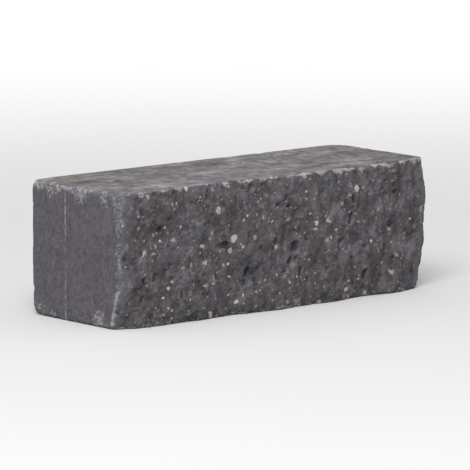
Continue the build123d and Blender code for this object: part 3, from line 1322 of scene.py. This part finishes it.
@dataclass(frozen=True)
class Concrete:
    """The charcoal concrete: its tones as a screen shows them, and its patterns in metres."""

    moulded: Colour = linear(112, 109, 115)
    # The beds' tone is paler than the ends', partly as painted light from above and partly as a tone of
    # their own.
    bed: Colour = linear(123, 119, 124)
    split: Colour = linear(105, 101, 106)
    # The hollow tone is painted shade in the split's hollows and in the pores, and the beds' dark streaks;
    # the crest tone is a painted highlight, with worn paleness, on the split's crests.
    hollow: Colour = linear(62, 60, 64)
    worn_crest_highlight: Colour = linear(142, 140, 145)
    dust: Colour = linear(205, 200, 199)
    bloom: Colour = linear(158, 160, 170)
    wiped: Colour = linear(156, 151, 152)
    brown: Colour = linear(136, 124, 118)
    rust: Colour = linear(134, 112, 100)
    drifts: tuple[Drift, ...] = (
        Drift(size=0.045, detail=2.0, on_end=0.05, on_bed=0.28, on_split=0.03),
        Drift(size=0.013, detail=3.0, on_end=0.06, on_bed=0.22, on_split=0.21, upright=True),
        Drift(size=0.0065, detail=2.0, on_end=0.1, on_bed=0.32, on_split=0.4, upright=True),
        Drift(size=0.0036, detail=2.0, on_end=0.24, on_bed=0.3, on_split=0.2),
        Drift(size=0.0017, detail=2.0, on_end=0.22, on_bed=0.24, on_split=0.13),
        Drift(size=0.0008, detail=1.0, on_end=0.14, on_bed=0.16, on_split=0.1),
    )
    tints: tuple[tuple[float, Colour, float], ...] = (
        (0.0, linear(192, 181, 174), 1.0),
        (0.28, linear(224, 214, 209), 1.0),
        (0.5, linear(166, 152, 144), 1.0),
        (0.66, linear(194, 177, 170), 1.0),
        (0.78, linear(194, 197, 202), 1.0),
        (0.93, linear(156, 134, 127), 1.0),
    )
    stones: tuple[tuple[float, Colour, float], ...] = (
        (0.0, linear(105, 101, 106), 0.0),
        (0.7, linear(62, 60, 64), 0.5),
        (0.8, linear(150, 147, 148), 0.6),
        (0.9, linear(194, 178, 171), 0.9),
        (0.94, linear(222, 209, 202), 1.0),
        (0.98, linear(186, 165, 157), 0.9),
    )
    specks: tuple[Scatter, ...] = (
        Scatter(spacing=0.0022, share=0.16, radius=0.38, on_mould=0.16, on_split=0.52),
        Scatter(spacing=0.0038, share=0.16, radius=0.36, on_mould=0.0, on_split=0.95),
        Scatter(spacing=0.008, share=0.16, radius=0.3, on_mould=0.0, on_split=1.0),
    )
    pores: tuple[Scatter, ...] = (
        Scatter(spacing=0.0024, share=0.4, radius=0.22, on_mould=1.0, on_split=0.0),
        Scatter(spacing=0.009, share=0.35, radius=0.13, on_mould=1.0, on_split=0.0),
    )
    # The beds' streaks run along the wall. On them and on slow patches the beds' tones come in.
    streak_scale: tuple[float, float, float] = (0.36, 1.0, 1.0)
    streak_size: float = 0.013
    slow_size: float = 0.022
    turns_warm: Step = Step(-0.2, 0.8, strength=0.6)
    turns_pale: Step = Step(-0.05, 0.9, strength=0.95)
    turns_dark: Step = Step(0.05, -1.0, strength=0.75)
    turns_red: Step = Step(-0.35, -1.0, strength=0.6)
    # The split's painted shade in its hollows, and its painted highlight with worn paleness on its crests,
    # come in by the depth of its fine relief, in millimetres.
    hollow_shade_step: Step = Step(0.25, 1.9, strength=0.8)
    worn_crest_highlight_step: Step = Step(-0.15, -1.1, strength=0.48)
    upright_scale: tuple[float, float, float] = (1.0, 1.0, 0.6)
    # Dust lies where the bruising is strong. Fine noise makes its borders ragged and its cover uneven.
    dusts: Step = Step(0.2, 1.15)
    raggedness: float = 0.75
    ragged_size: float = 0.0022
    ragged_from: Step = Step(0.0, 0.25)
    dust_size: float = 0.0016
    dust_step: Step = Step(-0.7, 0.7)
    dust_cover: Range = (0.5, 1.0)
    bloom_size: float = 0.009
    blooms: Step = Step(0.45, 1.1, strength=0.45)
    haze_size: float = 0.005
    hazes: Step = Step(-0.9, 0.9, strength=0.4)
    # The mould's seam runs up the left end, and fades in a gap between its upper and lower parts.
    seam_place: float = 0.014
    seam_half: float = 0.0009
    seam_core: float = 0.00027
    seam_end: float = -0.147
    seam_gap: float = 0.046
    seam_gap_step: Step = Step(0.01, 0.024)
    seam_cover: Range = (0.3, 1.0)
    seam_dots: float = 0.0026
    seam_dot_step: Step = Step(-0.5, 0.7)
    seam_strength: float = 0.75
    pore_shade: float = 0.55
    # The bump's heights in metres, for sand and small lumps first on the mould's sides, then on the split.
    sand_size: float = 0.0011
    sand_height: Range = (0.00004, 0.0001)
    lump_size: float = 0.003
    lump_height: Range = (0.00004, 0.00015)
    pore_depth: float = 0.0003
    roughness: float = 0.86
    lump_roughness: float = 0.05
    gloss: float = 0.4

    def mould_tone(self, patterns: Patterns, bed: Socket) -> Socket:
        """Gives the tone of the sides that the mould left: plain ends and back, and streaky beds.

        Args:
            patterns: The patterns to draw from.
            bed: How far a point is on a bed.

        Returns:
            The colour.
        """
        nodes = patterns.nodes
        lengthwise = nodes.stretched(patterns.place, self.streak_scale)
        streaks = patterns.patches(self.streak_size, 4.0, lengthwise)
        warm = nodes.step(patterns.patches(self.slow_size, 2.0, lengthwise), self.turns_warm, bed)
        # The beds are paled partly by painted light from above.
        tone = nodes.blend(bed, self.moulded, self.bed)
        tone = nodes.blend(warm, tone, self.brown)
        tone = nodes.blend(nodes.step(streaks, self.turns_pale, bed), tone, self.wiped)
        tone = nodes.blend(nodes.step(streaks, self.turns_dark, bed), tone, self.hollow)
        return nodes.blend(nodes.step(streaks, self.turns_red, warm), tone, self.rust)

    def split_tone(self, nodes: Nodes, cavity: Socket) -> Socket:
        """Gives the tone of the split: painted shade darkens its hollows, and a painted highlight with
        worn paleness lightens its crests.
        """
        tone = nodes.blend(nodes.step(cavity, self.hollow_shade_step), self.split, self.hollow)
        return nodes.blend(nodes.step(cavity, self.worn_crest_highlight_step), tone, self.worn_crest_highlight)

    def shifted(self, patterns: Patterns, tone: Socket, split: Socket, bed: Socket) -> Socket:
        """Shifts a tone up and down in patches of every size, down to the sand's.

        Args:
            patterns: The patterns to draw from.
            tone: The colour to shift.
            split: How far a point is on the split.
            bed: How far a point is on a bed.

        Returns:
            The colour times one plus the patches.
        """
        nodes = patterns.nodes
        upright = nodes.stretched(patterns.place, self.upright_scale)
        factor = 1.0
        for drift in self.drifts:
            on_mould = nodes.between(bed, drift.on_end, drift.on_bed)
            rise = nodes.maths("SUBTRACT", drift.on_split, on_mould)
            strength = nodes.maths("MULTIPLY_ADD", split, rise, on_mould)
            place = upright if drift.upright else patterns.place
            patches = patterns.patches(drift.size, drift.detail, place)
            factor = nodes.maths("MULTIPLY_ADD", patches, strength, factor)
        grey = nodes.add("ShaderNodeCombineXYZ", {0: factor, 1: factor, 2: factor})
        return nodes.blend(1.0, tone, grey.outputs[0], "MULTIPLY")

    def stony(self, patterns: Patterns, tone: Socket, split: Socket) -> Socket:
        """Lays the stones over a tone: the large ones of the mesh, and small ones that are cut here.

        Args:
            patterns: The patterns to draw from.
            tone: The colour to lay them on.
            split: How far a point is on the split.

        Returns:
            The colour with the stones.
        """
        nodes = patterns.nodes
        ramp = nodes.ramp(nodes.attribute("stone_value"), self.stones)
        cover = nodes.times(nodes.attribute("stone"), ramp.outputs["Alpha"])
        tone = nodes.blend(cover, tone, ramp.outputs["Color"])
        for scatter in self.specks:
            speck = patterns.scattered(patterns.specks, scatter).outputs
            cover = nodes.times(speck["Mask"], nodes.between(split, scatter.on_mould, scatter.on_split))
            tone = nodes.blend(cover, tone, speck["Tint"])
        return tone

    def paled(self, patterns: Patterns, tone: Socket, split: Socket) -> Socket:
        """Pales the bruised arrises and smudges, and lays lime bloom on the split and the haze.

        Args:
            patterns: The patterns to draw from.
            tone: The colour to pale.
            split: How far a point is on the split.

        Returns:
            The paled colour.
        """
        nodes = patterns.nodes
        bruise = nodes.attribute("bruise")
        crumbly = nodes.times(patterns.patches(self.ragged_size), self.raggedness)
        ragged = nodes.maths("MULTIPLY_ADD", nodes.step(bruise, self.ragged_from), crumbly, bruise)
        cover = nodes.step(patterns.patches(self.dust_size, 2.0), self.dust_step)
        cover = nodes.between(cover, *self.dust_cover)
        tone = nodes.blend(nodes.step(ragged, self.dusts, cover), tone, self.dust)
        clouds = patterns.patches(self.bloom_size, 4.0)
        tone = nodes.blend(nodes.step(clouds, self.blooms, split), tone, self.bloom)
        uneven = patterns.patches(self.haze_size)
        return nodes.blend(nodes.step(uneven, self.hazes, nodes.attribute("haze")), tone, self.bloom)

    def seamed(self, patterns: Patterns, tone: Socket) -> Socket:
        """Draws the pale dotted seam that the mould left on the left end.

        Args:
            patterns: The patterns to draw from.
            tone: The colour to draw it on.

        Returns:
            The colour with the seam.
        """
        nodes = patterns.nodes
        spot = nodes.add("ShaderNodeSeparateXYZ", {"Vector": patterns.place}).outputs
        off_seam = nodes.maths("ABSOLUTE", nodes.maths("SUBTRACT", spot[1], self.seam_place))
        line = nodes.remap(off_seam, self.seam_half, self.seam_core)
        dots = nodes.step(patterns.patches(self.seam_dots, 2.0), self.seam_dot_step)
        off_gap = nodes.maths("ABSOLUTE", nodes.maths("SUBTRACT", spot[2], self.seam_gap))
        cover = nodes.between(nodes.step(off_gap, self.seam_gap_step), *self.seam_cover)
        at_end = nodes.maths("LESS_THAN", spot[0], self.seam_end)
        return nodes.blend(nodes.times(line, dots, cover, at_end, self.seam_strength), tone, self.dust)

    def material(self) -> bpy.types.Material:
        """Builds the concrete's material from the shared groups and the mesh's attributes.

        Returns:
            The material of the whole block.
        """
        material = bpy.data.materials.new("charcoal_concrete")
        material.use_nodes = True
        nodes = Nodes(material.node_tree)
        patterns = Patterns(nodes, self.tints)
        split, cavity, bed = (nodes.attribute(name) for name in ("split", "cavity", "bed"))
        pricks = []
        for scatter in self.pores:
            depth = patterns.scattered(patterns.pores, scatter).outputs["Depth"]
            pricks.append(nodes.times(depth, nodes.between(split, scatter.on_mould, scatter.on_split)))
        pore = nodes.maths("MAXIMUM", *pricks)

        tone = nodes.blend(split, self.mould_tone(patterns, bed), self.split_tone(nodes, cavity))
        tone = self.shifted(patterns, tone, split, bed)
        tone = self.stony(patterns, tone, split)
        tone = self.paled(patterns, tone, split)
        tone = self.seamed(patterns, tone)
        # The pores are darkened with painted shade in the hollow tone, by their depth.
        tone = nodes.blend(nodes.times(pore, self.pore_shade), tone, self.hollow)

        sand = patterns.patches(self.sand_size, 2.0)
        lumps = patterns.patches(self.lump_size, 2.0)
        height = nodes.times(sand, nodes.between(split, *self.sand_height))
        height = nodes.maths("MULTIPLY_ADD", lumps, nodes.between(split, *self.lump_height), height)
        height = nodes.maths("MULTIPLY_ADD", pore, -self.pore_depth, height)
        bump = nodes.add("ShaderNodeBump", {"Strength": 1.0, "Distance": 1.0, "Height": height})
        rough = nodes.maths("MULTIPLY_ADD", lumps, self.lump_roughness, self.roughness, clamp=True)
        values = {
            "Base Color": tone,
            "Roughness": rough,
            "Normal": bump.outputs[0],
            "Specular IOR Level": self.gloss,
        }
        surface = nodes.add("ShaderNodeBsdfPrincipled", values)
        nodes.add("ShaderNodeOutputMaterial", {"Surface": surface.outputs[0]})
        return material


@dataclass
class WallBlock:
    """The block: a moulded box, worn at its arrises, whose front has been split off."""

    low: Array
    high: Array
    split_reach: float = 30.0
    # The unevenness of chips, and the slow and the small waves of the moulded sides.
    chip_waver: Waver = Waver(strength=0.45, size=2.6, seed=801)
    waves: tuple[Waver, Waver] = (Waver(0.06, 22.0, seed=811), Waver(0.05, 4.0, seed=821))
    # Between which parts of a point's outward direction it comes to lie on the split or on a bed.
    faces_split: Range = (0.35, 0.75)
    faces_bed: Range = (0.5, 0.9)
    # How much the split's rims look moulded, and how much chips look like the split.
    rim_likeness: float = 0.45
    chip_likeness: float = 0.6
    margin: float = 0.01
    finish: Concrete = field(default_factory=Concrete)

    def mesh(self) -> bpy.types.Mesh:
        """Builds the block's mesh.

        The points of a sharp box are worn round. Each point is then moved back by the
        depth of the split face at its place along and up, times a share that falls
        from one at the front to nothing a little behind it. The moulded sides sink in
        by the waves, which go from nothing to twice their strength.

        Returns:
            The closed mesh in metres, with the attributes that the finish reads.
        """
        sharp, corners = Skin(self.low, self.high).whole()
        wear = Wear(self.low, self.high)
        worn, outward, chipped = wear.wear(sharp)
        length, _, height = self.high - self.low
        relief = SplitFace(length, height).carve(worn[:, 0], worn[:, 2])
        at_front = 1.0 - eased(worn[:, 1] - self.low[1], 0.0, self.split_reach)
        on_split = eased(-outward[:, 1], *self.faces_split)
        rough = np.abs(self.chip_waver.at(worn)) * chipped
        sunk = sum(wave.strength + wave.at(worn) for wave in self.waves) * (1.0 - on_split)
        points = worn - outward * (rough + sunk)[:, None]
        points[:, 1] += relief["depth"] * at_front

        points = np.clip(points, self.low + self.margin, self.high - self.margin)
        on_floor = worn[:, 2] <= self.low[2] + 1e-6
        points[:, 2] = np.where(on_floor, self.low[2], points[:, 2])
        mesh = bpy.data.meshes.new(BLOCK_NODE + "_looks")
        mesh.from_pydata((points * MM).tolist(), [], corners.tolist())
        rim = relief["rim"]
        attributes = {
            "split": np.maximum(on_split * (1.0 - self.rim_likeness * rim), self.chip_likeness * chipped),
            # The fine relief's depth, holes included: the split's tone gets painted shade where it is deep
            # and a painted highlight where it stands proud.
            "cavity": relief["fine"] * on_split,
            "bruise": wear.bruise(sharp, chipped),
            "haze": np.maximum(rim**2 * on_split, wear.haze(sharp)),
            "stone": relief["stone"] * on_split,
            "stone_value": relief["stone_value"],
            "bed": eased(np.abs(outward[:, 2]), *self.faces_bed),
        }
        for name, values in attributes.items():
            layer = mesh.attributes.new(name, "FLOAT", "POINT")
            layer.data.foreach_set("value", values.astype(np.float32))
        mesh.shade_smooth()
        mesh.validate()
        return mesh

    def build(self) -> bpy.types.Object:
        """Makes the block's object, dresses it and sets it in the frame in place of its solid.

        Returns:
            The block.
        """
        mesh = self.mesh()
        mesh.materials.append(self.finish.material())
        block = bpy.data.objects.new(BLOCK_NODE + "_looks", mesh)
        bpy.context.scene.collection.objects.link(block)
        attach(block, BLOCK_BODY)
        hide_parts(BLOCK_NODE)
        log.info("%s: %d points, %d triangles", block.name, len(mesh.vertices), len(mesh.polygons))
        return block


@dataclass(frozen=True)
class Lamp:
    """A soft square lamp that faces the block: angles in degrees, width in metres, power in watts."""

    name: str
    azimuth: float
    elevation: float
    width: float
    power: float


@dataclass
class Studio:
    """The plain floor, the soft lights and the camera, in metres and degrees."""

    aim: Vector
    camera_azimuth: float = -40.2
    camera_elevation: float = 8.75
    camera_distance: float = 4.05
    lens: float = 417.0
    clip: Range = (0.1, 40.0)
    floor_half: float = 9.0
    floor_tone: Colour = (0.97, 0.97, 0.97)
    floor_bounce: Colour = (0.28, 0.28, 0.28)
    fades: Step = Step(0.3, 1.5)
    sky_strength: float = 0.44
    lamp_distance: float = 3.0
    lamps: tuple[Lamp, ...] = (
        Lamp("key", azimuth=-50.0, elevation=43.0, width=1.4, power=42.0),
        Lamp("top", azimuth=-30.0, elevation=80.0, width=2.0, power=11.0),
    )

    def set_up(self, thing: bpy.types.Object, azimuth: float, elevation: float, distance: float) -> None:
        """Puts a camera or a lamp in its place, turns it to the aim and adds it to the scene.

        Args:
            thing: The camera or the lamp.
            azimuth: The angle round the aim, from 0 in front, at -Y.
            elevation: The angle above the aim.
            distance: The distance from the aim.
        """
        turn, rise = math.radians(azimuth), math.radians(elevation)
        way = Vector((math.sin(turn) * math.cos(rise), -math.cos(turn) * math.cos(rise), math.sin(rise)))
        thing.location = self.aim + way * distance
        thing.rotation_euler = (-way).to_track_quat("-Z", "Y").to_euler()
        bpy.context.scene.collection.objects.link(thing)

    def camera(self) -> None:
        """Makes the camera at the photograph's viewing angle."""
        camera = bpy.data.objects.new("camera", bpy.data.cameras.new("camera"))
        camera.data.lens = self.lens
        camera.data.clip_start, camera.data.clip_end = self.clip
        self.set_up(camera, self.camera_azimuth, self.camera_elevation, self.camera_distance)
        bpy.context.scene.camera = camera

    def light(self, lamp: Lamp) -> None:
        """Makes one lamp.

        Args:
            lamp: Its name, place, width and power.
        """
        light = bpy.data.lights.new(lamp.name, "AREA")
        light.size = lamp.width
        light.energy = lamp.power
        thing = bpy.data.objects.new(lamp.name, light)
        self.set_up(thing, lamp.azimuth, lamp.elevation, self.lamp_distance)

    def seen(self, nodes: Nodes) -> Socket:
        """Tells what the camera sees, straight, in a gloss or through glass.

        Args:
            nodes: The nodes of the material or the world.

        Returns:
            One for what it sees, and else nothing.
        """
        path = nodes.add("ShaderNodeLightPath").outputs
        seen = nodes.maths("ADD", path["Is Camera Ray"], path["Is Glossy Ray"])
        return nodes.maths("ADD", seen, path["Is Transmission Ray"], clamp=True)

    def floor(self) -> None:
        """Makes the pale floor. It fades to white far from the block, and sends little light up at it."""
        half = self.floor_half
        corners = [(-half, -half, 0.0), (half, -half, 0.0), (half, half, 0.0), (-half, half, 0.0)]
        mesh = bpy.data.meshes.new("floor")
        mesh.from_pydata(corners, [], [(0, 1, 2, 3)])
        floor = bpy.data.objects.new("floor", mesh)
        bpy.context.scene.collection.objects.link(floor)
        material = bpy.data.materials.new("pale_floor")
        material.use_nodes = True
        nodes = Nodes(material.node_tree)
        seen = self.seen(nodes)
        tone = nodes.blend(seen, self.floor_bounce, self.floor_tone)
        diffuse = nodes.add("ShaderNodeBsdfDiffuse", {"Color": tone})
        white = nodes.add("ShaderNodeEmission", {"Color": (1.0, 1.0, 1.0, 1.0), "Strength": 1.0})
        spot = nodes.add("ShaderNodeTexCoord").outputs["Object"]
        away = nodes.add("ShaderNodeVectorMath", {0: spot}, operation="LENGTH").outputs["Value"]
        values = {0: nodes.step(away, self.fades, seen), 1: diffuse.outputs[0], 2: white.outputs[0]}
        surface = nodes.add("ShaderNodeMixShader", values)
        nodes.add("ShaderNodeOutputMaterial", {"Surface": surface.outputs[0]})
        mesh.materials.append(material)
        floor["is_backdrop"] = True

    def sky(self) -> None:
        """Lights the scene evenly from all round, and shows white behind the floor."""
        world = bpy.data.worlds.new("studio")
        world.use_nodes = True
        nodes = Nodes(world.node_tree)
        strength = nodes.between(self.seen(nodes), self.sky_strength, 1.0)
        shade = nodes.add("ShaderNodeBackground", {"Color": (1.0, 1.0, 1.0, 1.0), "Strength": strength})
        nodes.add("ShaderNodeOutputWorld", {"Surface": shade.outputs[0]})
        bpy.context.scene.world = world

    def build(self) -> None:
        """Makes the camera, the floor, the sky and the lamps."""
        self.camera()
        self.floor()
        self.sky()
        for lamp in self.lamps:
            self.light(lamp)
        bpy.context.scene.view_settings.view_transform = "Standard"


def main() -> None:
    """Builds the studio and the block, and works out both boxes."""
    logging.basicConfig(level=logging.INFO, format="%(message)s")
    low, high = (np.array(corner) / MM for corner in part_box(BLOCK_NODE))
    Studio(aim=Vector((0.0, 0.0, 0.05))).build()
    WallBlock(low, high).build()
    boxes = [[list(corner) for corner in box] for box in (cad_box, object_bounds())]


if __name__ == "__main__":
    main()
